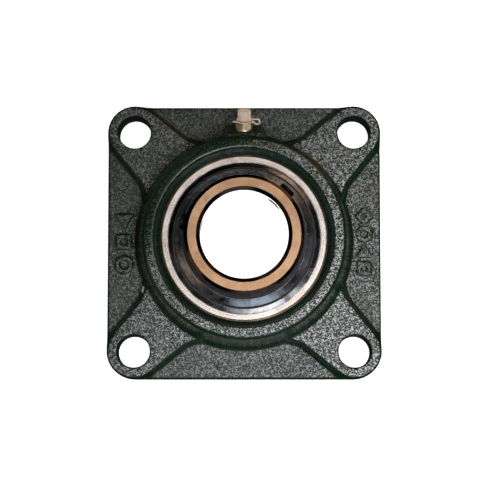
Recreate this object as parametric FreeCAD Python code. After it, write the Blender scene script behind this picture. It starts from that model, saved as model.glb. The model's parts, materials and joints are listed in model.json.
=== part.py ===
"""Square four-bolt flange bearing unit: cast housing, self-aligning insert bearing and grease nipple.

Frame, in millimetres: the origin is the centre of the bolt square in the mounting face, +Z runs along
the shaft axis away from the mounting surface, and +Y points to the grease nipple.
"""

import FreeCAD, Part

import math
import os

from FreeCAD import Vector

# ---------------------------------------------------------------- driving dimensions

# Housing
FLANGE_SIDE = 162.0
BOLT_SPACING = 130.0
BOLT_HOLE_R = 9.5
CORNER_R = 16.0
RECESS_Z = 14.0          # top of the thin flange between the corner pads
PAD_Z = 20.0             # top of the corner pads
PAD_FOOT_SPREAD = 3.0    # how far the pad's sloping wall widens over PAD_FOOT_DEPTH
PAD_FOOT_DEPTH = 10.0
PAD_EYE_R = 15.4         # end of the pad, round the bolt hole
PAD_ROOT_HALF = 20.0     # half width of the pad where it enters the hub
PAD_FLARE_R = 12.0       # plan radius with which the pad's sides widen into the hub
PAD_FLARE_TURN = 25.0
HUB_Z = 43.0             # inner edge of the hub's front face
HUB_FACE_FALL = 0.6      # how much lower the front face is at its outer edge
HUB_FRONT_R = 59.6       # hub outside, just under its rounded front edge
HUB_BASE_R = 63.4        # hub outside at the recess floor
HUB_MOUTH_R = 53.0       # inner edge of the hub's front face
HUB_ROUND = 2.8
HUB_FILLET = 3.0
PAD_FILLET = 2.6
PAD_ROUND = 1.0
RIM_ROUND = 1.6
MARK_COLUMN_X = 71.2     # distance of each column of cast marks from the middle
MARK_WALL = 1.8
MARK_HEIGHT = 1.0
BACK_RELIEF_R = 52.0     # opening in the housing's back, behind the seat

# Insert bearing
CENTRE_Z = 25.0          # bearing centre above the mounting face
SPHERE_R = 50.0          # outside of the outer ring
SEAT_CLEARANCE = 0.05
OUTER_WIDTH = 25.0
INNER_BACK_Z = 2.8
INNER_FRONT_Z = 58.4
BORE_R = 25.4
INNER_R = 34.5
OUTER_LAND_R = 43.2
BALL_R = 7.144
PITCH_R = 38.75
BALL_COUNT = 10
RUNNING_GAP = 0.02       # between a ball and each raceway
OUTER_GROOVE_R = 7.43
INNER_GROOVE_R = 7.36

# Cage
CAGE_SHEET = 1.1
CAGE_INNER_R, CAGE_OUTER_R = 36.5, 41.0
POCKET_R = BALL_R + 0.16
RIVET_R = 1.0
RIVET_HEAD_R = 1.8
RIVET_HEAD = 0.7

# Locking screws
SCREW_Z = 48.4
SCREW_ANGLES = {"a": 47.0, "b": 167.0}
SCREW_R = 4.9
SCREW_HOLE_R = 5.0
SCREW_TIP_R = 27.6       # radius of the screw's inner tip when it is backed off
SCREW_LENGTH = 10.0

# Grease nipple, leaning from the radial direction towards the front
NIPPLE_LEAN = 22.0
NIPPLE_SEAT_Y = 64.0
NIPPLE_SEAT_Z = 35.3
NIPPLE_SHANK_R = 3.1
NIPPLE_SHANK_LENGTH = 5.5
NIPPLE_PASSAGE_R = 1.2
HEX_FLATS = 9.0
HEX_TURN = 18.8
HEX_LOW, HEX_HIGH = 0.9, 4.4
NECK_R = 2.3
HEAD_R = 3.25
NIPPLE_TOP = 10.6
MOUTH_R = 0.65
MOUTH_DEPTH = 1.3        # thickness of the lip that keeps the check ball in
CHECK_BALL_R = 0.9

# Dust cap and its tether, as heights along the nipple's axis and radii from it
CAP_R = 3.95
CAP_LIP_R = 4.5
CAP_LOW, CAP_TOP = 5.9, 12.0
CAP_HOLLOW_R = HEAD_R + 0.08
TETHER_LOW, TETHER_HIGH = 4.45, 5.15
TETHER_HALF_WIDTH = 0.9
TETHER_HALF_THICK = 0.32

ORIGIN = Vector(0, 0, 0)
UP = Vector(0, 0, 1)
OUT = "parts"


# ---------------------------------------------------------------- small helpers

def line(a, b):
    """Straight edge between two (radius, height) points of a profile."""
    return Part.LineSegment(Vector(a[0], 0, a[1]), Vector(b[0], 0, b[1])).toShape()


def arc(a, via, b):
    """Arc through three (radius, height) points of a profile."""
    return Part.Arc(*(Vector(p[0], 0, p[1]) for p in (a, via, b))).toShape()


def turned(edges):
    """Solid of revolution about Z from a closed list of profile edges."""
    face = Part.Face(Part.Wire(edges))
    return as_solid(face.revolve(ORIGIN, UP, 360))


def ring(points):
    """Solid of revolution about Z from the corners of a closed profile."""
    return turned([line(a, b) for a, b in zip(points, points[1:] + points[:1])])


def as_solid(shape):
    """The shape as one positive solid."""
    solid = shape if shape.ShapeType == "Solid" else Part.Solid(shape.Shells[0])
    if solid.Volume < 0:
        solid.reverse()
    return solid


def cylinder(radius, low, high, x=0.0, y=0.0):
    """Upright cylinder between two heights."""
    return Part.makeCylinder(radius, high - low, Vector(x, y, low), UP)


def prism(corners, low, high):
    """Upright prism on a closed outline of (x, y) corners."""
    points = [Vector(x, y, low) for x, y in corners]
    face = Part.Face(Part.makePolygon(points + points[:1]))
    return face.extrude(Vector(0, 0, high - low))


def fused(shapes):
    """One shape from many."""
    return shapes[0].multiFuse(shapes[1:])


def mirrored_z(shape):
    """The shape mirrored in the bearing's middle plane."""
    return shape.mirror(Vector(0, 0, CENTRE_Z), UP)


def spun(shape, degrees):
    """A copy turned about the shaft axis."""
    copy = shape.copy()
    copy.rotate(ORIGIN, UP, degrees)
    return copy


def along_nipple(shape):
    """Moves a shape built on +Z at the origin to the nipple's seat and axis."""
    copy = shape.copy()
    copy.rotate(ORIGIN, Vector(1, 0, 0), NIPPLE_LEAN - 90.0)
    copy.translate(Vector(0, NIPPLE_SEAT_Y, NIPPLE_SEAT_Z))
    return copy


def along_screw(shape, angle):
    """Moves a shape built on +Z to a locking screw's axis, its +Z pointing outwards."""
    copy = shape.copy()
    copy.rotate(ORIGIN, Vector(0, 1, 0), 90.0)
    copy.translate(Vector(0, 0, SCREW_Z))
    return spun(copy, angle)


def sphere_radius_at(radius, offset):
    """Radius of a sphere's section at a distance from its middle."""
    return math.sqrt(radius**2 - offset**2)


# ---------------------------------------------------------------- housing

def rounded_square(side, corner, low, high):
    """Upright square block with rounded corners."""
    block = Part.makeBox(side, side, high - low, Vector(-side / 2, -side / 2, low))
    uprights = [e for e in block.Edges if abs(e.Vertexes[0].Z - e.Vertexes[1].Z) > 1]
    return block.makeFillet(corner, uprights)


def edges_at(shape, height):
    """Edges that lie wholly at one height."""
    return [
        e for e in shape.Edges
        if abs(e.BoundBox.ZMin - height) < 1e-4 and abs(e.BoundBox.ZMax - height) < 1e-4
    ]


def pad_side(grow, height):
    """Points of one side of the pad on the +X diagonal, from inside the hub to the eye.

    The side leaves the eye at a tangent, and near the hub it turns outwards on a wide arc.
    """
    eye = BOLT_SPACING / math.sqrt(2)
    eye_r = PAD_EYE_R + grow
    root = 50.0
    lean = math.asin((PAD_ROOT_HALF - PAD_EYE_R) / (eye - root))
    flared = lean + math.radians(PAD_FLARE_TURN)
    middle = (lean + flared) / 2
    flare_r = PAD_FLARE_R - grow
    at_eye = (eye + eye_r * math.sin(lean), eye_r * math.cos(lean))
    run = 25.0
    start = (at_eye[0] - run * math.cos(lean), at_eye[1] + run * math.sin(lean))
    centre = (start[0] + flare_r * math.sin(lean), start[1] + flare_r * math.cos(lean))
    via = (centre[0] - flare_r * math.sin(middle), centre[1] - flare_r * math.cos(middle))
    end = (centre[0] - flare_r * math.sin(flared), centre[1] - flare_r * math.cos(flared))
    inside = (end[0] - 10.0 * math.cos(flared), end[1] + 10.0 * math.sin(flared))
    return [Vector(x, y, height) for x, y in (inside, end, via, start, at_eye)]


def pad_outline(grow, height):
    """Outline of the pad on the +X diagonal, widened all round by grow."""
    left = pad_side(grow, height)
    right = [Vector(p.x, -p.y, p.z) for p in left]
    tip = Vector(BOLT_SPACING / math.sqrt(2) + PAD_EYE_R + grow, 0, height)
    return Part.Wire([
        Part.LineSegment(right[0], right[1]).toShape(),
        Part.Arc(right[1], right[2], right[3]).toShape(),
        Part.LineSegment(right[3], right[4]).toShape(),
        Part.Arc(right[4], tip, left[4]).toShape(),
        Part.LineSegment(left[4], left[3]).toShape(),
        Part.Arc(left[3], left[2], left[1]).toShape(),
        Part.LineSegment(left[1], left[0]).toShape(),
        Part.LineSegment(left[0], right[0]).toShape(),
    ])


def corner_pads():
    """Four raised pads with sloping cast walls, from the hub to the bolt holes."""
    foot = pad_outline(PAD_FOOT_SPREAD, PAD_Z - PAD_FOOT_DEPTH)
    pad = Part.makeLoft([foot, pad_outline(0.0, PAD_Z)], True, True)
    pad = pad.makeFillet(PAD_ROUND, [e for e in edges_at(pad, PAD_Z) if e.CenterOfMass.x > 62.0])
    limit = rounded_square(FLANGE_SIDE, CORNER_R, 0.0, PAD_Z + 1)
    return [spun(pad, 45.0 + 90.0 * i).common(limit) for i in range(4)]


def flange_with_pads():
    """Flange plate and pads with rounded feet and rims."""
    plate = rounded_square(FLANGE_SIDE, CORNER_R, 0.0, RECESS_Z)
    body = fused([plate, *corner_pads()]).removeSplitter()
    rim_line = FLANGE_SIDE / 2 - 2.0
    body = body.makeFillet(PAD_FILLET, [e for e in edges_at(body, RECESS_Z) if reach(e) < rim_line])
    return body.makeFillet(RIM_ROUND, [e for e in edges_at(body, RECESS_Z) if reach(e) > rim_line])


def reach(edge):
    """Largest of an edge's |x| and |y| at its middle."""
    return max(abs(edge.CenterOfMass.x), abs(edge.CenterOfMass.y))


def hub_foot_edges(shape):
    """Edges where the hub's wall meets the recess floors and the pads."""
    chosen = []
    for edge in shape.Edges:
        radii = [math.hypot(p.x, p.y) for p in edge.discretize(5)]
        near_wall = min(radii) > HUB_BASE_R - 1.5 and max(radii) < HUB_BASE_R + 0.5
        low = edge.BoundBox.ZMin > RECESS_Z - 0.1 and edge.BoundBox.ZMax < PAD_Z + 0.1
        if near_wall and low:
            chosen.append(edge)
    return chosen


def hub():
    """Drafted round hub with a slightly falling front face and a rounded front edge."""
    edge = HUB_ROUND * (1 - math.sqrt(0.5))
    rim_z = HUB_Z - HUB_FACE_FALL
    shoulder = (HUB_FRONT_R, rim_z - HUB_ROUND)
    crown = (HUB_FRONT_R - HUB_ROUND, rim_z)
    return turned([
        line((0, 0), (HUB_BASE_R, 0)),
        line((HUB_BASE_R, 0), (HUB_BASE_R, RECESS_Z)),
        line((HUB_BASE_R, RECESS_Z), shoulder),
        arc(shoulder, (HUB_FRONT_R - edge, rim_z - edge), crown),
        line(crown, (HUB_MOUTH_R, HUB_Z)),
        line((HUB_MOUTH_R, HUB_Z), (0, HUB_Z)),
        line((0, HUB_Z), (0, 0)),
    ])


def nipple_boss():
    """Block on the hub's side with a flat seat square to the leaning nipple."""
    half_width = 11.5
    lean = math.radians(NIPPLE_LEAN)
    reach_up, reach_down = 5.8, 6.5
    up, out = math.cos(lean), math.sin(lean)
    seat_top = (NIPPLE_SEAT_Y - reach_up * out, NIPPLE_SEAT_Z + reach_up * up)
    seat_low = (NIPPLE_SEAT_Y + reach_down * out, NIPPLE_SEAT_Z - reach_down * up)
    side_view = [
        (52.0, 10.0), (69.5, 10.0), (68.8, RECESS_Z), seat_low, seat_top, (52.0, seat_top[1])]
    points = [Vector(-half_width, y, z) for y, z in side_view]
    face = Part.Face(Part.makePolygon(points + points[:1]))
    block = face.extrude(Vector(2 * half_width, 0, 0))
    uprights = [
        e for e in block.Edges
        if abs(abs(e.CenterOfMass.x) - half_width) < 1e-4 and e.CenterOfMass.y > 60.0
        and e.CenterOfMass.z > RECESS_Z
    ]
    return block.makeFillet(2.5, uprights)


def polygon(sides, radius, x, y, turn):
    """Corners of a regular polygon."""
    angles = [math.radians(turn + 360.0 * i / sides) for i in range(sides)]
    return [(x + radius * math.cos(a), y + radius * math.sin(a)) for a in angles]


def cast_marks():
    """Plain raised foundry marks on the left and right recess floors, as (sides, size, y, turn)."""
    left = [(3, 5.6, 13.5, 30.0), (4, 5.7, 0.2, 45.0), (24, 5.0, -13.4, 0.0)]
    right = [(4, 5.0, 15.6, 0.0), (24, 4.5, 4.9, 0.0), (3, 4.9, -6.3, 90.0), (4, 5.3, -15.8, 45.0)]
    low, high = RECESS_Z - 1.0, RECESS_Z + MARK_HEIGHT
    marks = []
    for side, rows in ((-1, left), (1, right)):
        for sides, size, y, turn in rows:
            x = side * MARK_COLUMN_X
            inner_size = size - MARK_WALL / math.cos(math.pi / sides)
            outer = polygon(sides, size, x, y, turn)
            inner = polygon(sides, inner_size, x, y, turn)
            marks.append(prism(outer, low, high).cut(prism(inner, low - 1, high + 1)))
    return marks


def housing_void():
    """Turned space inside the housing: back relief, spherical seat and front flare."""
    seat_r = SPHERE_R + SEAT_CLEARANCE
    half = OUTER_WIDTH / 2 + 0.1
    edge_r = sphere_radius_at(seat_r, half)
    back_z, front_z = CENTRE_Z - half, CENTRE_Z + half
    return turned([
        line((0, -1), (BACK_RELIEF_R + 1.5, -1)),
        line((BACK_RELIEF_R + 1.5, -1), (BACK_RELIEF_R, back_z)),
        line((BACK_RELIEF_R, back_z), (edge_r, back_z)),
        arc((edge_r, back_z), (seat_r, CENTRE_Z), (edge_r, front_z)),
        line((edge_r, front_z), (edge_r + 0.6, front_z + 0.4)),
        line((edge_r + 0.6, front_z + 0.4), (HUB_MOUTH_R, HUB_Z)),
        line((HUB_MOUTH_R, HUB_Z), (HUB_MOUTH_R, HUB_Z + 1)),
        line((HUB_MOUTH_R, HUB_Z + 1), (0, HUB_Z + 1)),
        line((0, HUB_Z + 1), (0, -1)),
    ])


def loading_slots():
    """Two notches at the back of the seat that let the outer ring in edge-on."""
    depth_r = SPHERE_R + SEAT_CLEARANCE
    width = OUTER_WIDTH + 0.8
    return Part.makeBox(2 * depth_r, width, CENTRE_Z + 1, Vector(-depth_r, -width / 2, -1))


def grease_groove():
    """Ring groove in the seat that carries grease to the outer ring's holes."""
    return ring([(46.0, 28.0), (51.4, 28.0), (51.4, 34.4), (46.0, 34.4)])


def bolt_holes():
    """Four through holes with lightly broken edges at the pad."""
    half = BOLT_SPACING / 2
    broken = 0.6
    cuts = []
    for x, y in ((half, half), (-half, half), (-half, -half), (half, -half)):
        cuts.append(cylinder(BOLT_HOLE_R, -1, PAD_Z + 2, x, y))
        cuts.append(Part.makeCone(
            BOLT_HOLE_R, BOLT_HOLE_R + 2 * broken, 2 * broken, Vector(x, y, PAD_Z - broken), UP))
    return cuts


def nipple_bore():
    """Hole for the nipple's shank and the narrow passage on to the grease groove."""
    depth, passage_depth, passage_r = NIPPLE_SHANK_LENGTH + 1.0, 14.5, 1.6
    shank = Part.makeCylinder(NIPPLE_SHANK_R + 0.05, depth + 1.0, Vector(0, 0, -depth))
    passage = Part.makeCylinder(passage_r, passage_depth, Vector(0, 0, -passage_depth))
    return [along_nipple(shank), along_nipple(passage)]


def housing():
    """The one-piece iron casting."""
    body = flange_with_pads().fuse(hub()).removeSplitter()
    body = body.makeFillet(HUB_FILLET, hub_foot_edges(body))
    body = fused([body, nipple_boss(), *cast_marks()])
    body = body.cut(fused([housing_void(), loading_slots()]))
    body = body.cut(grease_groove())
    for cut in bolt_holes() + nipple_bore():
        body = body.cut(cut)
    return body.removeSplitter()


# ---------------------------------------------------------------- insert bearing

def groove_cut(radius, centre_r):
    """Torus that cuts a ball groove."""
    return Part.makeTorus(centre_r, radius, Vector(0, 0, CENTRE_Z), UP)


def outer_ring():
    """Outer ring: spherical outside, ball groove, seal grooves and two grease holes."""
    half = OUTER_WIDTH / 2
    edge = 0.9
    rim = sphere_radius_at(SPHERE_R, half - edge)
    mouth_r, seal_r, land_r = 45.0, 45.5, OUTER_LAND_R
    front, back = CENTRE_Z + half, CENTRE_Z - half
    upper = [
        (rim - edge, front), (mouth_r, front), (mouth_r, front - 0.6), (seal_r, front - 0.8),
        (seal_r, front - 2.1), (land_r, front - 2.1),
    ]
    lower = [(r, back + front - z) for r, z in reversed(upper)]
    path = upper + lower
    edges = [line(a, b) for a, b in zip(path, path[1:])]
    edges.append(line(lower[-1], (rim, back + edge)))
    edges.append(arc((rim, back + edge), (SPHERE_R, CENTRE_Z), (rim, front - edge)))
    edges.append(line((rim, front - edge), upper[0]))
    body = turned(edges)
    bottom = PITCH_R + BALL_R + RUNNING_GAP
    body = body.cut(groove_cut(OUTER_GROOVE_R, bottom - OUTER_GROOVE_R))
    hole = Part.makeCylinder(1.2, 20.0, Vector(0, 40.0, CENTRE_Z + 8.0), Vector(0, 1, 0))
    return body.cut(hole).cut(spun(hole, 180.0))


def inner_ring():
    """Wide inner ring with chamfered ends, ball groove and two tapped holes."""
    front_face = (27.7, 32.6)
    back_face = (26.8, 33.4)
    body = ring([
        (BORE_R, INNER_BACK_Z + 1.4), (back_face[0], INNER_BACK_Z), (back_face[1], INNER_BACK_Z),
        (INNER_R, INNER_BACK_Z + 1.1), (INNER_R, INNER_FRONT_Z - 1.3),
        (front_face[1], INNER_FRONT_Z), (front_face[0], INNER_FRONT_Z), (BORE_R, INNER_FRONT_Z - 2.0),
    ])
    bottom = PITCH_R - BALL_R - RUNNING_GAP
    body = body.cut(groove_cut(INNER_GROOVE_R, bottom + INNER_GROOVE_R))
    hole = Part.makeCylinder(SCREW_HOLE_R, 20.0, Vector(0, 0, 20.0))
    for angle in SCREW_ANGLES.values():
        body = body.cut(along_screw(hole, angle))
    return body


def ball_centre(index):
    """Centre of a ball on the pitch circle."""
    angle = math.radians(360.0 * index / BALL_COUNT)
    return Vector(PITCH_R * math.cos(angle), PITCH_R * math.sin(angle), CENTRE_Z)


def ball(index):
    """One ball."""
    return Part.makeSphere(BALL_R, ball_centre(index), UP, -90, 90, 360)


def cage_half():
    """Front half of the pressed cage: a flat ribbon with half-round ball pockets."""
    band = ring([
        (CAGE_INNER_R, CENTRE_Z), (CAGE_OUTER_R, CENTRE_Z),
        (CAGE_OUTER_R, CENTRE_Z + 12), (CAGE_INNER_R, CENTRE_Z + 12),
    ])
    ribbon = ring([
        (CAGE_INNER_R, CENTRE_Z), (CAGE_OUTER_R, CENTRE_Z),
        (CAGE_OUTER_R, CENTRE_Z + CAGE_SHEET), (CAGE_INNER_R, CENTRE_Z + CAGE_SHEET),
    ])
    shells = [
        Part.makeSphere(POCKET_R + CAGE_SHEET, ball_centre(i)).common(band)
        for i in range(BALL_COUNT)
    ]
    body = fused([ribbon, *shells])
    for i in range(BALL_COUNT):
        body = body.cut(Part.makeSphere(POCKET_R, ball_centre(i)))
    for i in range(BALL_COUNT):
        x, y = rivet_place(i)
        body = body.cut(cylinder(RIVET_R, CENTRE_Z - 1, CENTRE_Z + 5, x, y))
    return body


def rivet_place(index):
    """(x, y) of a rivet, halfway between two balls."""
    angle = math.radians(360.0 * (index + 0.5) / BALL_COUNT)
    return PITCH_R * math.cos(angle), PITCH_R * math.sin(angle)


def cage_rivets():
    """Ten rivets as one group of separate solids."""
    top = CAGE_SHEET + RIVET_HEAD
    upper = [
        (RIVET_R, CAGE_SHEET), (RIVET_HEAD_R, CAGE_SHEET), (RIVET_HEAD_R, CAGE_SHEET + 0.25),
        (RIVET_HEAD_R - 0.5, top), (0, top),
    ]
    lower = [(r, -z) for r, z in reversed(upper)]
    rivet = ring(lower + upper)
    rivets = []
    for i in range(BALL_COUNT):
        x, y = rivet_place(i)
        copy = rivet.copy()
        copy.translate(Vector(x, y, CENTRE_Z))
        rivets.append(copy)
    return Part.makeCompound(rivets)


def seal_plate():
    """Front seal's steel plate, pressed into the outer ring's groove, with a coned outer band."""
    top = CENTRE_Z + OUTER_WIDTH / 2
    rim_r, band_r, crest_r, floor_r, inner_r = 45.45, 44.5, 41.2, 39.9, 37.2
    crest, floor, sheet = top - 0.1, top - 1.0, 0.7
    return ring([
        (rim_r, top - 1.3), (band_r, top - 1.3), (crest_r, crest), (crest_r - 0.5, crest),
        (floor_r, floor), (inner_r, floor), (inner_r, floor - sheet), (floor_r + 0.3, floor - sheet),
        (crest_r - 0.25, crest - 0.75), (crest_r - 0.05, crest - 0.75),
        (band_r - 0.2, top - 1.3 - sheet), (rim_r, top - 1.3 - sheet),
    ])


def seal_lip():
    """Front seal's rubber: a layer under the plate and a lip on the inner ring."""
    top = CENTRE_Z + OUTER_WIDTH / 2
    under = top - 1.7
    return ring([
        (40.1, under), (40.1, under - 0.5), (37.6, under - 0.5), (36.0, under - 1.3),
        (INNER_R + 0.05, under - 1.1), (INNER_R + 0.05, under - 0.5), (35.4, under - 0.4),
        (35.9, under + 0.75), (37.2, under + 0.75), (37.2, under),
    ])


def flinger():
    """Front flinger: a steel ring pressed on the inner ring and flared back over the seal."""
    low, rim, crest = 38.9, 43.0, 42.4
    return turned([
        line((INNER_R, low + 1.4), (INNER_R, rim)),
        line((INNER_R, rim), (35.3, rim)),
        line((35.3, rim), (35.5, crest - 0.3)),
        line((35.5, crest - 0.3), (35.9, crest - 0.3)),
        arc((35.9, crest - 0.3), (36.5, crest - 0.35), (37.0, crest - 0.8)),
        line((37.0, crest - 0.8), (40.4, low)),
        line((40.4, low), (39.6, low - 0.5)),
        line((39.6, low - 0.5), (36.2, crest - 2.2)),
        arc((36.2, crest - 2.2), (35.6, crest - 2.1), (INNER_R, low + 1.4)),
    ])


def locking_screw():
    """Cup-point hex-socket screw on +Z, its tip at the backed-off radius."""
    low, high = SCREW_TIP_R, SCREW_TIP_R + SCREW_LENGTH
    pitch, depth = 1.0, 0.5
    points = [(0.0, low + 1.0), (2.2, low), (SCREW_R - 1.3, low), (SCREW_R - depth, low + 1.0)]
    z = low + 1.0
    while z + pitch < high - 0.4:
        points += [(SCREW_R, z + 0.4), (SCREW_R, z + 0.6), (SCREW_R - depth, z + pitch)]
        z += pitch
    points += [(SCREW_R - 0.3, high - 0.3), (SCREW_R - 0.6, high), (0.0, high)]
    body = ring(points)
    socket_depth, flats = 4.6, 5.0
    corners = polygon(6, flats / math.sqrt(3), 0.0, 0.0, 0.0)
    return body.cut(prism(corners, high - socket_depth, high + 1))


# ---------------------------------------------------------------- grease nipple

def nipple_hexagon():
    """Hexagon with chamfered corners at both ends."""
    corner_r = HEX_FLATS / math.sqrt(3)
    middle = (HEX_LOW + HEX_HIGH) / 2
    prism_body = prism(polygon(6, corner_r, 0.0, 0.0, HEX_TURN), HEX_LOW, HEX_HIGH)
    bevel = ring([
        (0, HEX_LOW), (corner_r - 0.6, HEX_LOW), (corner_r + 0.3, HEX_LOW + 0.5),
        (corner_r + 0.3, middle), (corner_r + 0.3, HEX_HIGH - 0.5), (corner_r - 0.6, HEX_HIGH),
        (0, HEX_HIGH),
    ])
    return prism_body.common(bevel)


def nipple_head():
    """Neck and round head that the grease coupler grips."""
    return turned([
        line((0, HEX_HIGH - 1), (NECK_R, HEX_HIGH - 1)),
        line((NECK_R, HEX_HIGH - 1), (NECK_R, 6.7)),
        line((NECK_R, 6.7), (HEAD_R, 7.7)),
        arc((HEAD_R, 7.7), (HEAD_R - 0.2, 8.9), (HEAD_R - 0.9, NIPPLE_TOP - 0.8)),
        line((HEAD_R - 0.9, NIPPLE_TOP - 0.8), (1.4, NIPPLE_TOP)),
        line((1.4, NIPPLE_TOP), (0, NIPPLE_TOP)),
        line((0, NIPPLE_TOP), (0, HEX_HIGH - 1)),
    ])


def nipple_body():
    """Steel nipple: shank, collar, hexagon, neck, round head and the passage through it."""
    shank = Part.makeCylinder(NIPPLE_SHANK_R, NIPPLE_SHANK_LENGTH, Vector(0, 0, -NIPPLE_SHANK_LENGTH))
    collar = Part.makeCylinder(4.9, HEX_LOW)
    body = fused([shank, collar, nipple_hexagon(), nipple_head()])
    seat = NIPPLE_TOP - MOUTH_DEPTH
    start = -NIPPLE_SHANK_LENGTH - 1.0
    bore = Part.makeCylinder(NIPPLE_PASSAGE_R, seat - start, Vector(0, 0, start))
    mouth = Part.makeCylinder(MOUTH_R, MOUTH_DEPTH + 2.0, Vector(0, 0, seat - 1.0))
    return along_nipple(body.cut(bore).cut(mouth))


def check_ball_place():
    """Height of the check ball's centre on the nipple's axis when it closes the mouth."""
    seat = NIPPLE_TOP - MOUTH_DEPTH
    return seat - math.sqrt(CHECK_BALL_R**2 - MOUTH_R**2) - 0.02


def check_ball():
    """Small ball that closes the nipple's mouth."""
    return along_nipple(Part.makeSphere(CHECK_BALL_R, Vector(0, 0, check_ball_place())))


def check_spring():
    """Coil spring under the check ball."""
    wire_r, coil_r, turns = 0.16, 0.85, 6
    high = check_ball_place() - CHECK_BALL_R - wire_r - 0.02
    low = high - 7.0
    coil = Part.makeHelix((high - low) / turns, high - low, coil_r)
    section = Part.Wire(Part.makeCircle(wire_r, Vector(coil_r, 0, 0), Vector(0, 1, 0)))
    body = Part.Wire(coil.Edges).makePipeShell([section], True, True)
    body.translate(Vector(0, 0, low))
    return along_nipple(as_solid(body))


def nipple_cap():
    """Soft dust cap over the nipple's head, closed at its outer end."""
    roof = NIPPLE_TOP + 0.5
    return along_nipple(ring([
        (CAP_HOLLOW_R, CAP_LOW), (CAP_LIP_R, CAP_LOW), (CAP_LIP_R, CAP_LOW + 0.6),
        (CAP_R, CAP_LOW + 0.9), (CAP_R - 0.1, CAP_TOP - 0.5), (CAP_R - 0.6, CAP_TOP),
        (0, CAP_TOP), (0, roof),
        (HEAD_R - 0.9, roof), (CAP_HOLLOW_R, roof - 1.1),
    ]))


def strap(points):
    """Flat flexible strap whose centre line runs smoothly through (x, height) points."""
    centre = Part.BSplineCurve()
    centre.interpolate([Vector(x, 0, z) for x, z in points])
    first, last = centre.FirstParameter, centre.LastParameter
    steps = 24
    sides = ([], [])
    for i in range(steps + 1):
        at = first + (last - first) * i / steps
        middle, along = centre.value(at), Vector(*centre.tangent(at)[0])
        across = Vector(-along.z, 0, along.x).multiply(TETHER_HALF_THICK)
        sides[0].append(middle + across)
        sides[1].append(middle - across)
    curves = []
    for side in sides:
        curve = Part.BSplineCurve()
        curve.interpolate(side)
        curves.append(curve.toShape())
    ends = [Part.LineSegment(sides[0][i], sides[1][i]).toShape() for i in (0, -1)]
    face = Part.Face(Part.Wire([curves[0], ends[1], curves[1], ends[0]]))
    face.translate(Vector(0, -TETHER_HALF_WIDTH, 0))
    return as_solid(face.extrude(Vector(0, 2 * TETHER_HALF_WIDTH, 0)))


def cap_tether():
    """Moulded tether: a ring round the neck, a short tail and a curled strap up to the cap's lip."""
    middle = (TETHER_LOW + TETHER_HIGH) / 2
    collar = ring([
        (NECK_R + 0.1, TETHER_LOW), (4.4, TETHER_LOW), (4.4, TETHER_HIGH),
        (NECK_R + 0.1, TETHER_HIGH),
    ])
    cap_side = CAP_LIP_R + 0.03
    curl = strap([
        (3.9, middle), (5.4, middle - 0.2), (6.6, middle - 1.1), (7.9, middle - 1.45),
        (9.1, middle - 0.35), (8.7, middle + 1.15), (7.3, middle + 1.6), (5.6, middle + 1.45),
        (cap_side, middle + 1.4),
    ])
    tail = strap([(-6.9, middle - 0.1), (-5.4, middle + 0.1), (-3.9, middle)])
    return along_nipple(fused([collar, curl, tail]))


# ---------------------------------------------------------------- export

def build():
    """Every node's name and shape."""
    nodes = {
        "housing": housing(),
        "outer_ring": outer_ring(),
        "inner_ring": inner_ring(),
        "cage_front": cage_half(),
        "cage_back": mirrored_z(cage_half()),
        "cage_rivets": cage_rivets(),
        "seal_plate_front": seal_plate(),
        "seal_plate_back": mirrored_z(seal_plate()),
        "seal_lip_front": seal_lip(),
        "seal_lip_back": mirrored_z(seal_lip()),
        "flinger_front": flinger(),
        "flinger_back": mirrored_z(flinger()),
        "nipple_body": nipple_body(),
        "nipple_check_ball": check_ball(),
        "nipple_spring": check_spring(),
        "nipple_cap": nipple_cap(),
        "cap_tether": cap_tether(),
    }
    for name, angle in SCREW_ANGLES.items():
        nodes[f"locking_screw_{name}"] = along_screw(locking_screw(), angle)
    for index in range(BALL_COUNT):
        nodes[f"ball_{index + 1:02d}"] = ball(index)
    return nodes


def main():
    """Writes one STEP file per node and prints what each holds."""
    os.makedirs(OUT, exist_ok=True)
    for name, shape in build().items():
        solids = shape.Solids
        print(f"{name}: valid {shape.isValid()}, solids {len(solids)}, volume {shape.Volume:.1f} mm3")
        shape.exportStep(f"{OUT}/{name}.step")


main()
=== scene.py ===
import json
import math

import bmesh
import bpy
import numpy as np
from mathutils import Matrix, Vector, noise


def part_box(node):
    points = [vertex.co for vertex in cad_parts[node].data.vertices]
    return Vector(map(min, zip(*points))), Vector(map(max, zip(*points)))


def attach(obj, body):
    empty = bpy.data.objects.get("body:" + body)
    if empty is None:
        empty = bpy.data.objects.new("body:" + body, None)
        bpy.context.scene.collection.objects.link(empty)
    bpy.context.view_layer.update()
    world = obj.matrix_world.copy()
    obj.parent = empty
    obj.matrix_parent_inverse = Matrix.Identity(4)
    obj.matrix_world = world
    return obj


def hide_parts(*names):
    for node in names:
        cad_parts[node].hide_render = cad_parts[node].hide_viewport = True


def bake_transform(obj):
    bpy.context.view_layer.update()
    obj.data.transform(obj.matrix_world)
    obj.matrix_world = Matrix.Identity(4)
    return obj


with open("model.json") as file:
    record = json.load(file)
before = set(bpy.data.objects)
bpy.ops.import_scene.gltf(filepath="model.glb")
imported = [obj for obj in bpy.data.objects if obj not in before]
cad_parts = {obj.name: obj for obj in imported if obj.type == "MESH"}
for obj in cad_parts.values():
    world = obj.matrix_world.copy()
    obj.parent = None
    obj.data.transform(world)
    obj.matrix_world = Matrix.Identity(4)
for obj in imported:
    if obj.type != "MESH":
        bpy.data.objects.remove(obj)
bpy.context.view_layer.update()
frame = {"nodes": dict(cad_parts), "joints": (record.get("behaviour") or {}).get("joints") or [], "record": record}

NODES = frame["nodes"]
MM = 0.001

# ---------------------------------------------------------------- places and sizes of the part

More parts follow.
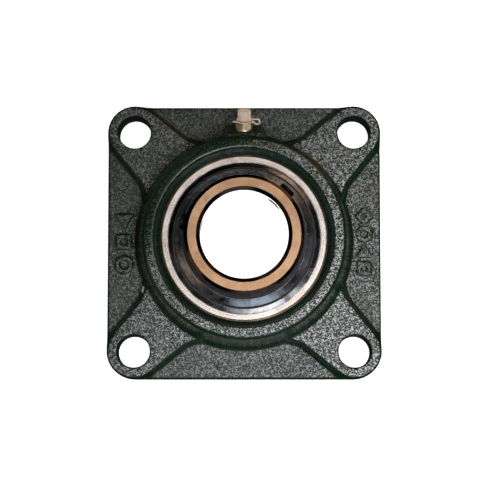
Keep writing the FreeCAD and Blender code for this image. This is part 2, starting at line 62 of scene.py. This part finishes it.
MOUNTS = {m["name"]: m for m in frame["record"]["mounts"]}
JOINTS = {j["name"]: j for j in frame["joints"]}
BEARING_CENTRE = Vector(JOINTS["insert_tilt"]["pos_m"])
BORE_R = MOUNTS["shaft_bore"]["dims"]["r_mm"] * MM
HOLE_OFFSET = MOUNTS["bolt_pattern"]["dims"]["spacing_x_mm"] / 2 * MM
HOLE_R = MOUNTS["bolt_pattern"]["dims"]["hole_r_mm"] * MM

# Between these heights or radii, one kind of surface gives way to another.
BACK_FACE_Z = (0.12 * MM, 0.35 * MM)
RECESS_TO_PAD_Z = (15 * MM, 19 * MM)
HUB_TOP_Z = (37 * MM, 41 * MM)
SEAT_RIM_Z = (37.6 * MM, 38.0 * MM)
SEAT_WALL_R = (50.9 * MM, 51.3 * MM)

# Inside these radii the sheet is dark: grease, and painted shade in the gap under the flinger and by the shaft.
FLINGER_GREASE_SHADE_R = 36.2 * MM
SEAL_GREASE_SHADE_R = 41.4 * MM

# Single marks that the real part carries.
PAINT_CHIP = (-59.7 * MM, -28.4 * MM, 15.5 * MM)
RUST_SPOT = (-13.0 * MM, -36.8 * MM, 40.2 * MM)

# ---------------------------------------------------------------- colours of the casting

ENAMEL_GREEN = (0.0035, 0.020, 0.0090)
ENAMEL_OLIVE = (0.0095, 0.0145, 0.0042)
# Painted sheen: level faces are painted lighter and greyer than the walls.
ENAMEL_LEVEL_SHEEN = (0.021, 0.035, 0.018)
# Painted glints on the sand's peaks.
PAINTED_GLINT = (0.74, 0.75, 0.77)
# Painted shade in the sand's pits.
SAND_PIT_SHADE = (0.0008, 0.0022, 0.0012)
# Painted shade in crevices.
CREVICE_SHADE = (0.0010, 0.0035, 0.0018)
# Painted shade on the bolt holes' walls.
HOLE_SHADE = (0.003, 0.006, 0.004)
IRON_DARK, IRON_LIGHT = (0.16, 0.155, 0.15), (0.34, 0.33, 0.31)
CHIPPED = (0.62, 0.60, 0.57)


# ---------------------------------------------------------------- shader helpers

def new_material(name):
    """An empty material: its node tree and its Principled shader."""
    made = bpy.data.materials.new(name)
    made.use_nodes = True
    tree = made.node_tree
    tree.nodes.clear()
    out = tree.nodes.new("ShaderNodeOutputMaterial")
    shader = tree.nodes.new("ShaderNodeBsdfPrincipled")
    tree.links.new(shader.outputs["BSDF"], out.inputs["Surface"])
    return made, tree, shader


def feed(tree, socket, value):
    """Sets a socket, or links it when value is another node's output."""
    if isinstance(value, bpy.types.NodeSocket):
        tree.links.new(value, socket)
    elif isinstance(value, tuple) and len(value) == 3 and socket.type == "RGBA":
        socket.default_value = (*value, 1.0)
    else:
        socket.default_value = value


def add(tree, kind, inputs=None, **settings):
    """A new node with its settings and inputs."""
    node = tree.nodes.new(kind)
    for key, value in settings.items():
        setattr(node, key, value)
    for key, value in (inputs or {}).items():
        feed(tree, node.inputs[key], value)
    return node


def finish_shader(tree, shader, **looks):
    """Feeds the shader's inputs, named with _ for a space."""
    for key, value in looks.items():
        feed(tree, shader.inputs[key.replace("_", " ")], value)


def maths(tree, operation, a, b=0.0):
    """Output of one Math node."""
    return add(tree, "ShaderNodeMath", {0: a, 1: b}, operation=operation).outputs[0]


def times(tree, a, b):
    """Product of two values."""
    return maths(tree, "MULTIPLY", a, b)


def minus(tree, a, b):
    """a less b."""
    return maths(tree, "SUBTRACT", a, b)


def fade(tree, value, low, high, to_low=0.0, to_high=1.0):
    """value mapped smoothly from low..high to to_low..to_high."""
    inputs = {0: value, 1: low, 2: high, 3: to_low, 4: to_high}
    return add(tree, "ShaderNodeMapRange", inputs, interpolation_type="SMOOTHSTEP").outputs[0]


def colour_mix(tree, share, a, b):
    """Two colours mixed by the second one's share."""
    inputs = {0: share, 6: a, 7: b}
    return add(tree, "ShaderNodeMix", inputs, data_type="RGBA").outputs[2]


def position(tree):
    """Surface position in the row frame, in metres."""
    return add(tree, "ShaderNodeTexCoord").outputs["Object"]


def split(tree, vector):
    """The x, y and z of a vector."""
    return add(tree, "ShaderNodeSeparateXYZ", {0: vector}).outputs


def upright_share(tree):
    """How far the surface faces +Z: 1 straight up, 0 on a wall, -1 straight down."""
    return split(tree, add(tree, "ShaderNodeNewGeometry").outputs["Normal"])[2]


def noise_field(tree, where, size, detail=2.0, roughness=0.5, distortion=0.0):
    """Noise whose features are about size metres across."""
    inputs = {
        "Vector": where, "Scale": 1.0 / size, "Detail": detail, "Roughness": roughness,
        "Distortion": distortion,
    }
    return add(tree, "ShaderNodeTexNoise", inputs, noise_dimensions="3D").outputs["Fac"]


def bump(tree, height, distance, strength=1.0, under=None):
    """Normal from a height in 0..1, distance metres high."""
    inputs = {"Height": height, "Distance": distance, "Strength": strength}
    if under is not None:
        inputs["Normal"] = under
    return add(tree, "ShaderNodeBump", inputs).outputs["Normal"]


def flat_distance(tree, x, y):
    """Length of x and y taken as the sides of a right angle."""
    squares = [maths(tree, "POWER", side, 2.0) for side in (x, y)]
    return maths(tree, "SQRT", maths(tree, "ADD", *squares))


def radius_from_axis(tree, where):
    """Distance from the shaft axis."""
    x, y, z = split(tree, where)
    return flat_distance(tree, x, y)


def turning_marks(tree, where, pitch, length):
    """Rings left by turning or grinding: noise that varies with radius and height, fainter in patches."""
    radius, height = radius_from_axis(tree, where), split(tree, where)[2]
    ringed = add(tree, "ShaderNodeCombineXYZ", {0: radius, 1: height}).outputs[0]
    rings = noise_field(tree, ringed, pitch, 3.0, 0.6)
    patchy = noise_field(tree, where, length, 2.0)
    return times(tree, rings, fade(tree, patchy, 0.3, 0.7, 0.6, 1.0))


def blemish(tree, where, centre, size, stretch=(1.0, 1.0, 1.0)):
    """1 in a small ragged spot on the surface and 0 around it."""
    offset = add(tree, "ShaderNodeVectorMath", {0: where, 1: centre}, operation="SUBTRACT").outputs[0]
    shaped = add(tree, "ShaderNodeVectorMath", {0: offset, 1: stretch}, operation="MULTIPLY").outputs[0]
    away = add(tree, "ShaderNodeVectorMath", {0: shaped}, operation="LENGTH").outputs[1]
    ragged = times(tree, noise_field(tree, where, 0.9 * MM, 2.0), 0.9 * MM)
    return fade(tree, minus(tree, away, ragged), size * 0.8, size, 1.0, 0.0)


# ---------------------------------------------------------------- the casting's paint

def sanded_enamel(tree, where, level, painted_glint_share, grain, lumps):
    """Enamel: patchy green, with painted sheen on level faces, painted glints on the sand's peaks, and painted
    shade in its pits and in crevices.
    """
    patches = noise_field(tree, where, 26 * MM, 3.0, 0.6)
    enamel = colour_mix(tree, fade(tree, patches, 0.38, 0.66, 0.0, 0.8), ENAMEL_GREEN, ENAMEL_OLIVE)
    # Painted sheen: level faces take the lighter, greyer enamel colour.
    enamel = colour_mix(tree, times(tree, level, 0.70), enamel, ENAMEL_LEVEL_SHEEN)

    skin_height = maths(tree, "ADD", grain, times(tree, lumps, 0.35))
    # Painted glints: the highest points of the sand skin on level faces are painted near white.
    peaks = times(tree, fade(tree, skin_height, 0.685, 0.775), times(tree, level, painted_glint_share))
    enamel = colour_mix(tree, peaks, enamel, PAINTED_GLINT)
    # Painted shade: the low points of the sand skin on level faces are painted near black.
    pits = times(tree, level, fade(tree, grain, 0.36, 0.50, 0.88, 0.0))
    enamel = colour_mix(tree, pits, enamel, SAND_PIT_SHADE)

    # Painted shade: where ambient occlusion finds the surface closed in, the enamel is painted near black.
    opened = add(tree, "ShaderNodeAmbientOcclusion", {"Distance": 3.2 * MM}, samples=8).outputs["AO"]
    return colour_mix(tree, fade(tree, opened, 0.50, 0.93, 0.92, 0.0), enamel, CREVICE_SHADE)


def machined(tree, z, radius):
    """1 on the mounting face and in the insert's seat, 0 elsewhere."""
    back_face = fade(tree, z, *BACK_FACE_Z, 1.0, 0.0)
    within_wall = fade(tree, radius, *SEAT_WALL_R, 1.0, 0.0)
    in_seat = times(tree, within_wall, fade(tree, z, *SEAT_RIM_Z, 1.0, 0.0))
    return maths(tree, "MAXIMUM", back_face, in_seat)


def in_bolt_hole(tree, x, y):
    """1 in the four bolt holes, 0 elsewhere."""
    sides = [minus(tree, maths(tree, "ABSOLUTE", axis), HOLE_OFFSET) for axis in (x, y)]
    return fade(tree, flat_distance(tree, *sides), HOLE_R, HOLE_R + 0.4 * MM, 1.0, 0.0)


def casting_paint():
    """Dark green enamel over a sand-cast skin, bare where the casting is machined."""
    made, tree, shader = new_material("green_enamel_on_sand_casting")
    where = position(tree)
    x, y, z = split(tree, where)

    # Painted shade on the hub's top towards -X and +Y: there the level faces lose most of their lighter colour,
    # glints and pits, and the surface is smoother and glossier.
    shaded_smooth_hub = times(tree, fade(tree, z, *HUB_TOP_Z), fade(tree, minus(tree, y, x), 15 * MM, 75 * MM))
    facing_up = fade(tree, upright_share(tree), 0.88, 0.992)
    level = times(tree, facing_up, fade(tree, shaded_smooth_hub, 0.0, 1.0, 1.0, 0.15))
    # Painted glints: the sand's peaks are painted brighter towards +X and -Y, on the key light's side, and duller
    # on the recessed floors.
    painted_glint_share = fade(tree, minus(tree, x, y), -110 * MM, 90 * MM, 0.30, 0.85)
    painted_glint_share = times(tree, painted_glint_share, fade(tree, z, *RECESS_TO_PAD_Z, 0.58, 1.0))

    grain = noise_field(tree, where, 0.68 * MM, 2.0, 0.60)
    lumps = noise_field(tree, where, 2.0 * MM, 2.0, 0.5)
    enamel = sanded_enamel(tree, where, level, painted_glint_share, grain, lumps)

    bare = machined(tree, z, radius_from_axis(tree, where))
    iron = colour_mix(tree, turning_marks(tree, where, 0.25 * MM, 30 * MM), IRON_DARK, IRON_LIGHT)
    base = colour_mix(tree, bare, enamel, iron)
    chip = blemish(tree, where, PAINT_CHIP, 0.95 * MM, (1.5, 0.62, 0.4))
    base = colour_mix(tree, chip, base, CHIPPED)
    hole = in_bolt_hole(tree, x, y)
    # Painted shade: the bolt holes' walls are painted near black.
    base = colour_mix(tree, times(tree, hole, 0.85), base, HOLE_SHADE)

    gloss = times(tree, fade(tree, lumps, 0.2, 0.8, 0.17, 0.26), fade(tree, shaded_smooth_hub, 0.0, 1.0, 1.0, 0.65))
    rough = maths(tree, "ADD", gloss, times(tree, hole, 0.55))
    skin = fade(tree, level, 0.0, 1.0, 0.12, 1.0)
    lump_bump = bump(tree, lumps, 0.40 * MM, skin)
    sand_bump = bump(tree, grain, 0.40 * MM, skin, under=lump_bump)
    metal = times(tree, bare, 0.85)
    finish_shader(tree, shader, Base_Color=base, Metallic=metal, Roughness=rough, Normal=sand_bump)
    return made


# ---------------------------------------------------------------- the other materials

RING_SKIN = (0.050, 0.030, 0.022)
HONED_BORE = (0.93, 0.93, 0.92)
OIL_STAIN = (0.20, 0.10, 0.05)
DARK_SPECK = (0.05, 0.03, 0.02)
# Dark grease, and painted shade near the shaft.
GREASE_AND_SHADE = (0.010, 0.008, 0.007)
RUST = (0.30, 0.07, 0.04)


def ground_steel(name, light, dark, roughness, bore_r=0.0):
    """Ground steel under a thin film of preserving oil.

    With a bore radius, the bore is honed bright, the end faces are ground and the rest keeps a dark skin.
    """
    made, tree, shader = new_material(name)
    where = position(tree)
    marks = turning_marks(tree, where, 0.16 * MM, 12 * MM)
    film = noise_field(tree, where, 14 * MM, 3.0, 0.6, 0.4)
    specks = noise_field(tree, where, 0.7 * MM, 2.0)
    metal = colour_mix(tree, fade(tree, marks, 0.2, 0.6), dark, light)
    metal = colour_mix(tree, fade(tree, film, 0.45, 0.75, 0.0, 0.35), metal, OIL_STAIN)
    metal = colour_mix(tree, fade(tree, specks, 0.70, 0.78, 0.0, 0.5), metal, DARK_SPECK)
    rough = fade(tree, film, 0.3, 0.7, roughness * 0.8, roughness * 1.25)
    if bore_r:
        facing_end = maths(tree, "ABSOLUTE", upright_share(tree))
        skin = fade(tree, facing_end, 0.88, 0.94, 1.0, 0.0)
        metal = colour_mix(tree, skin, metal, RING_SKIN)
        radius = radius_from_axis(tree, where)
        honed = fade(tree, radius, bore_r + 0.05 * MM, bore_r + 0.15 * MM, 1.0, 0.0)
        metal = colour_mix(tree, honed, metal, HONED_BORE)
        rough = times(tree, rough, fade(tree, honed, 0.0, 1.0, 1.0, 0.3))
    marks_bump = bump(tree, marks, 0.0025 * MM)
    finish_shader(tree, shader, Base_Color=metal, Metallic=1.0, Roughness=rough, Normal=marks_bump)
    return made


def pressed_sheet(name, light, dark, roughness, grease_shade_r=0.0):
    """Pressed sheet steel: oil smears, a fine grain, dark grease and painted shade inside the given radius, and
    one rust spot.
    """
    made, tree, shader = new_material(name)
    where = position(tree)
    smear = noise_field(tree, where, 9 * MM, 4.0, 0.6, 0.8)
    fine = noise_field(tree, where, 0.5 * MM, 2.0)
    metal = colour_mix(tree, fade(tree, smear, 0.3, 0.7), dark, light)
    radius = radius_from_axis(tree, where)
    # Grease and painted shade: near black, rough and not metallic inside the given radius.
    grease_shade = fade(tree, radius, grease_shade_r, grease_shade_r + 0.4 * MM, 1.0, 0.0)
    metal = colour_mix(tree, grease_shade, metal, GREASE_AND_SHADE)
    metal = colour_mix(tree, blemish(tree, where, RUST_SPOT, 1.0 * MM), metal, RUST)
    rough = fade(tree, smear, 0.3, 0.7, roughness, roughness * 1.4)
    rough = maths(tree, "MAXIMUM", rough, times(tree, grease_shade, 0.60))
    clean = minus(tree, 1.0, grease_shade)
    grain_bump = bump(tree, fine, 0.0015 * MM)
    finish_shader(tree, shader, Base_Color=metal, Metallic=clean, Roughness=rough, Normal=grain_bump)
    return made


def plated(name, light, dark, roughness):
    """Plated, blackened or drawn small parts with cloudy colour and a little grain."""
    made, tree, shader = new_material(name)
    where = position(tree)
    cloud = noise_field(tree, where, 2.4 * MM, 3.0, 0.6)
    grain = noise_field(tree, where, 0.25 * MM, 2.0)
    metal = colour_mix(tree, fade(tree, cloud, 0.3, 0.7), dark, light)
    rough = fade(tree, cloud, 0.3, 0.7, roughness, roughness * 1.6)
    grain_bump = bump(tree, grain, 0.0015 * MM)
    finish_shader(tree, shader, Base_Color=metal, Metallic=1.0, Roughness=rough, Normal=grain_bump)
    return made


def polished_ball():
    """Lapped ball steel with a thin grease film."""
    made, tree, shader = new_material("polished_ball_steel")
    film = noise_field(tree, position(tree), 3 * MM, 3.0, 0.6, 0.5)
    tint = colour_mix(tree, fade(tree, film, 0.4, 0.8), (0.74, 0.74, 0.75), (0.52, 0.47, 0.38))
    rough = fade(tree, film, 0.4, 0.8, 0.06, 0.22)
    finish_shader(tree, shader, Base_Color=tint, Metallic=1.0, Roughness=rough)
    return made


def seal_rubber():
    """Black nitrile rubber with a dusty bloom."""
    made, tree, shader = new_material("black_nitrile_rubber")
    where = position(tree)
    bloom = noise_field(tree, where, 5 * MM, 4.0, 0.65)
    fine = noise_field(tree, where, 0.3 * MM, 2.0)
    tint = colour_mix(tree, bloom, (0.010, 0.010, 0.011), (0.032, 0.030, 0.028))
    rough = fade(tree, bloom, 0.3, 0.7, 0.45, 0.65)
    finish_shader(tree, shader, Base_Color=tint, Roughness=rough, Normal=bump(tree, fine, 0.02 * MM))
    return made


def moulded_cap():
    """Soft milky polyethylene that lets some light in, with flow marks and grime."""
    made, tree, shader = new_material("milky_polyethylene")
    where = position(tree)
    flow = noise_field(tree, where, 4 * MM, 3.0, 0.6, 0.6)
    fine = noise_field(tree, where, 0.4 * MM, 2.0)
    tint = colour_mix(tree, fade(tree, flow, 0.35, 0.75), (0.84, 0.66, 0.54), (0.66, 0.48, 0.37))
    rough = fade(tree, flow, 0.3, 0.7, 0.32, 0.48)
    finish_shader(tree, shader, Base_Color=tint, Roughness=rough, Normal=bump(tree, fine, 0.02 * MM))
    shader.inputs["Subsurface Weight"].default_value = 0.35
    shader.inputs["Subsurface Radius"].default_value = (1.0, 0.7, 0.5)
    shader.inputs["Subsurface Scale"].default_value = 1.2 * MM
    return made


# ---------------------------------------------------------------- mesh helpers

CREASE = math.radians(32.0)


def smooth_faces(mesh):
    """Smooth shading on every face."""
    for face in mesh.polygons:
        face.use_smooth = True


def dress(name, made):
    """Gives a CAD node its material and smooth shading between crisp edges."""
    piece = NODES[name]
    piece.data.materials.clear()
    piece.data.materials.append(made)
    smooth_faces(piece.data)
    piece.modifiers.new("crisp_edges", "EDGE_SPLIT").split_angle = CREASE


def new_piece(name, mesh, made, body=None):
    """A shown piece from a mesh, with its material and, where given, its body."""
    piece = bpy.data.objects.new(name, mesh)
    bpy.context.scene.collection.objects.link(piece)
    mesh.materials.clear()
    mesh.materials.append(made)
    if body:
        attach(piece, body)
    return piece


def applied(piece):
    """The piece's mesh with its modifiers applied."""
    scene_state = bpy.context.evaluated_depsgraph_get()
    return bpy.data.meshes.new_from_object(piece.evaluated_get(scene_state))


def softened(node, voxel, rounds):
    """A CAD node's mesh made of even voxels, its edges softened by some rounds of smoothing."""
    rough = bpy.data.objects.new(f"rough_{node}", NODES[node].data.copy())
    bpy.context.scene.collection.objects.link(rough)
    remesh = rough.modifiers.new("voxels", "REMESH")
    remesh.mode = "VOXEL"
    remesh.voxel_size = voxel
    soften = rough.modifiers.new("soften", "SMOOTH")
    soften.factor, soften.iterations = 0.5, rounds
    mesh = applied(rough)
    bpy.data.objects.remove(rough)
    smooth_faces(mesh)
    return mesh


def as_points(values, key):
    """One vector for each vertex, as rows of an array."""
    flat = np.zeros(len(values) * 3)
    values.foreach_get(key, flat)
    return flat.reshape(-1, 3)


# ---------------------------------------------------------------- housing

VOXEL = 0.72 * MM
SAND_SIZES = ((2.6 * MM, 0.06 * MM), (1.3 * MM, 0.06 * MM))
SEAT_R = 50.1 * MM
SEAT_HALF_HEIGHT = 12.6 * MM
SEAT_TOLERANCE = 1.5 * MM


def smooth_step(values, low, high):
    """0 below low, 1 above high, smooth between."""
    t = np.clip((values - low) / (high - low), 0.0, 1.0)
    return t * t * (3 - 2 * t)


def cast_share(points):
    """1 on as-cast skin, 0 on machined faces and a quarter in the bolt holes."""
    radius = np.hypot(points[:, 0], points[:, 1])
    share = smooth_step(points[:, 2], 0.3 * MM, 1.0 * MM)
    outside_seat = smooth_step(radius, 50.6 * MM, 51.6 * MM)
    above_seat = smooth_step(points[:, 2], 37.8 * MM, 39.0 * MM)
    share *= np.maximum(outside_seat, above_seat)
    from_hole = np.hypot(np.abs(points[:, 0]) - HOLE_OFFSET, np.abs(points[:, 1]) - HOLE_OFFSET)
    outside_hole = smooth_step(from_hole, HOLE_R + 0.1 * MM, HOLE_R + 0.7 * MM)
    return share * (0.25 + 0.75 * outside_hole)


def sand(points):
    """Height of the sand-cast skin at each point."""
    height = np.zeros(len(points))
    for size, depth in SAND_SIZES:
        scaled = points / size
        height += depth * np.array([noise.noise(Vector(p)) for p in scaled])
    return height


def clear_of_insert(points):
    """Keeps the seat outside the insert's sphere."""
    centre = np.array(BEARING_CENTRE)
    offset = points - centre
    away = np.linalg.norm(offset, axis=1)
    too_close = (away < SEAT_R) & (away > SEAT_R - SEAT_TOLERANCE)
    too_close &= np.abs(offset[:, 2]) < SEAT_HALF_HEIGHT
    points[too_close] = centre + offset[too_close] * (SEAT_R / away[too_close])[:, None]
    return points


def housing_casting(made):
    """The housing as a casting: soft edges and a real sand skin on the unmachined surfaces."""
    mesh = softened("housing", VOXEL, 3)
    points = as_points(mesh.vertices, "co")
    normals = as_points(mesh.vertex_normals, "vector")
    points = points + normals * (sand(points) * cast_share(points))[:, None]
    low, high = (np.array(corner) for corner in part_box("housing"))
    points = np.clip(clear_of_insert(points), low, high)
    mesh.vertices.foreach_set("co", points.ravel())
    mesh.update()
    casting = new_piece("housing_casting", mesh, made, "housing")
    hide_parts("housing")


# ---------------------------------------------------------------- strap and spring


def bending(name, mesh, made, node):
    """A piece from a mesh that takes the place of a CAD node, which is hidden; its placement is baked into the
    mesh.
    """
    piece = new_piece(name, mesh, made)
    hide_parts(node)
    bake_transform(piece)


def cap_strap(made):
    """The moulded strap, with its ring on the nipple's neck, remade from the CAD strap in fine voxels with
    softened edges.
    """
    mesh = softened("cap_tether", 0.13 * MM, 4)
    bending("cap_strap", mesh, made, "cap_tether")


def check_spring(made):
    mesh = NODES["nipple_spring"].data.copy()
    smooth_faces(mesh)
    bending("check_spring", mesh, made, "nipple_spring")


# ---------------------------------------------------------------- stage

CAMERA_AIM = Vector((-1.0, -0.8, 20.0)) * MM
CAMERA_TILT = math.radians(6.2)
CAMERA_DISTANCE = 1.200
VIEW_WIDTH = 286.3 * MM

PALE = (0.9, 0.9, 0.9)
TABLE_GLOW, ROOM_GLOW = 1.1, 1.0
TABLE_R, ROOM_R, UNDER_BORE_R = 6.0, 5.9, 60 * MM
TABLE_Z, UNDER_BORE_Z = -0.4 * MM, -0.2 * MM
DISC_CORNERS = 96

KEY_AIM = Vector((45, -60, 20)) * MM
KEY_SPREAD = 50.0


def face_back(piece, aim, back, distance):
    """Puts a camera or light at a distance from aim, looking along -back."""
    piece.location = aim + back * distance
    piece.rotation_mode = "QUATERNION"
    piece.rotation_quaternion = (-back).to_track_quat("-Z", "Y")
    bpy.context.scene.collection.objects.link(piece)


def camera():
    """Looks down on the flange, tilted a little towards -Y."""
    data = bpy.data.cameras.new("camera")
    data.sensor_width = 36.0
    data.lens = data.sensor_width * CAMERA_DISTANCE / VIEW_WIDTH
    data.clip_start, data.clip_end = 0.01, 20.0
    made = bpy.data.objects.new("camera", data)
    face_back(made, CAMERA_AIM, Vector((0, -math.sin(CAMERA_TILT), math.cos(CAMERA_TILT))), CAMERA_DISTANCE)
    bpy.context.scene.camera = made


def glowing(name, mesh, glow):
    """A pale stage piece that glows."""
    made, tree, shader = new_material(name)
    finish_shader(tree, shader, Base_Color=PALE, Roughness=0.9, Emission_Color=PALE, Emission_Strength=glow)
    piece = new_piece(name, mesh, made)
    return piece


def flat_disc(name, radius, z):
    """A flat round mesh about the shaft axis."""
    turns = [math.tau * i / DISC_CORNERS for i in range(DISC_CORNERS)]
    mesh = bpy.data.meshes.new(name)
    corners = [(radius * math.cos(a), radius * math.sin(a), z) for a in turns]
    mesh.from_pydata(corners, [], [tuple(range(DISC_CORNERS))])
    return mesh


def stage():
    """A white table that reflections leave out, a disc under the bore that they show, and a pale room.

    Only the camera sees the room, so that it gives no light.
    """
    table = glowing("table", flat_disc("table", TABLE_R, TABLE_Z), TABLE_GLOW)
    table.visible_glossy = False
    glowing("table_under_bore", flat_disc("table_under_bore", UNDER_BORE_R, UNDER_BORE_Z), TABLE_GLOW)
    walls = bpy.data.meshes.new("pale_room")
    shell = bmesh.new()
    bmesh.ops.create_icosphere(shell, subdivisions=5, radius=ROOM_R)
    shell.to_mesh(walls)
    shell.free()
    room = glowing("pale_room", walls, ROOM_GLOW)
    room.visible_diffuse = room.visible_glossy = room.visible_transmission = room.visible_shadow = False


def softbox(name, azimuth, elevation, distance, size, radiance, colour, aim=BEARING_CENTRE, spread=180.0):
    """Area light that faces a point. Azimuth 0 is +X and 90 is +Y.

    At the full spread, radiance 1 reflects as white. A narrower one is brighter on its axis.
    """
    a, e = math.radians(azimuth), math.radians(elevation)
    away = Vector((math.cos(a) * math.cos(e), math.sin(a) * math.cos(e), math.sin(e)))
    data = bpy.data.lights.new(name, "AREA")
    data.shape = "RECTANGLE"
    data.size, data.size_y = size
    data.energy = radiance * math.pi * size[0] * size[1]
    data.color = colour
    data.spread = math.radians(spread)
    face_back(bpy.data.objects.new(name, data), aim, away, distance)


def lights():
    """Soft studio light: a narrow key and a card from above, and lower cards around."""
    softbox("key", 302, 76, 0.50, (0.28, 0.28), 0.84, (0.96, 0.98, 1.0), KEY_AIM, KEY_SPREAD)
    softbox("overhead", 90, 83, 1.5, (0.60, 0.60), 1.0, (1.0, 0.98, 0.95))
    softbox("front_card", 282, 24, 0.9, (0.70, 0.34), 1.25, (0.76, 0.89, 1.0))
    softbox("high_card", 282, 49, 0.9, (0.45, 0.24), 1.1, (0.86, 0.93, 1.0))
    softbox("warm_right", 55, 26, 0.9, (0.42, 0.46), 1.8, (1.0, 0.68, 0.45))
    softbox("warm_left", 205, 30, 0.9, (0.40, 0.40), 1.05, (1.0, 0.74, 0.55))
    softbox("right_card", 350, 20, 0.9, (0.50, 0.25), 0.30, (0.95, 0.92, 1.0))
    softbox("back_strip", 130, 2, 0.9, (0.90, 0.10), 1.2, (1.0, 1.0, 1.0))
    world = bpy.data.worlds.new("room")
    bpy.context.scene.world = world
    world.use_nodes = True
    background = world.node_tree.nodes["Background"]
    background.inputs["Color"].default_value = (0.95, 0.97, 1.0, 1.0)
    background.inputs["Strength"].default_value = 0.11
    world.cycles_visibility.glossy = False
    bpy.context.scene.view_settings.view_transform = "Standard"


# ---------------------------------------------------------------- the object

def dress_bearing():
    """Materials of the insert, its seals and flingers, the balls, the cage and the screws."""
    ring_steel = ground_steel("oiled_ring_steel", (0.58, 0.37, 0.235), (0.40, 0.235, 0.14), 0.20, BORE_R)
    dress("inner_ring", ring_steel)
    race_steel = ground_steel("oiled_race_steel", (0.74, 0.68, 0.65), (0.54, 0.46, 0.41), 0.18)
    dress("outer_ring", race_steel)
    flinger_sheet = pressed_sheet(
        "flinger_sheet", (0.50, 0.52, 0.55), (0.24, 0.24, 0.26), 0.22, FLINGER_GREASE_SHADE_R)
    seal_sheet = pressed_sheet("seal_sheet", (0.54, 0.53, 0.54), (0.30, 0.28, 0.28), 0.16, SEAL_GREASE_SHADE_R)
    cage_sheet = pressed_sheet("cage_sheet", (0.56, 0.55, 0.53), (0.36, 0.34, 0.32), 0.26)
    rubber = seal_rubber()
    for side in ("front", "back"):
        dress(f"flinger_{side}", flinger_sheet)
        dress(f"seal_plate_{side}", seal_sheet)
        dress(f"seal_lip_{side}", rubber)
        dress(f"cage_{side}", cage_sheet)
    dress("cage_rivets", cage_sheet)
    black_oxide = plated("black_oxide", (0.030, 0.028, 0.027), (0.012, 0.011, 0.011), 0.34)
    for screw in ("a", "b"):
        dress(f"locking_screw_{screw}", black_oxide)
    ball_steel = polished_ball()
    for name in NODES:
        if name.startswith("ball_"):
            dress(name, ball_steel)
    dress("nipple_check_ball", ball_steel)


def dress_nipple():
    """The nipple's materials, with its strap and spring as pieces of their own."""
    dress("nipple_body", plated("yellow_passivated_zinc", (0.98, 0.88, 0.64), (0.72, 0.52, 0.29), 0.34))
    check_spring(plated("spring_wire", (0.55, 0.54, 0.52), (0.35, 0.33, 0.31), 0.25))
    soft_plastic = moulded_cap()
    dress("nipple_cap", soft_plastic)
    cap_strap(soft_plastic)


housing_casting(casting_paint())
dress_bearing()
dress_nipple()
camera()
stage()
lights()
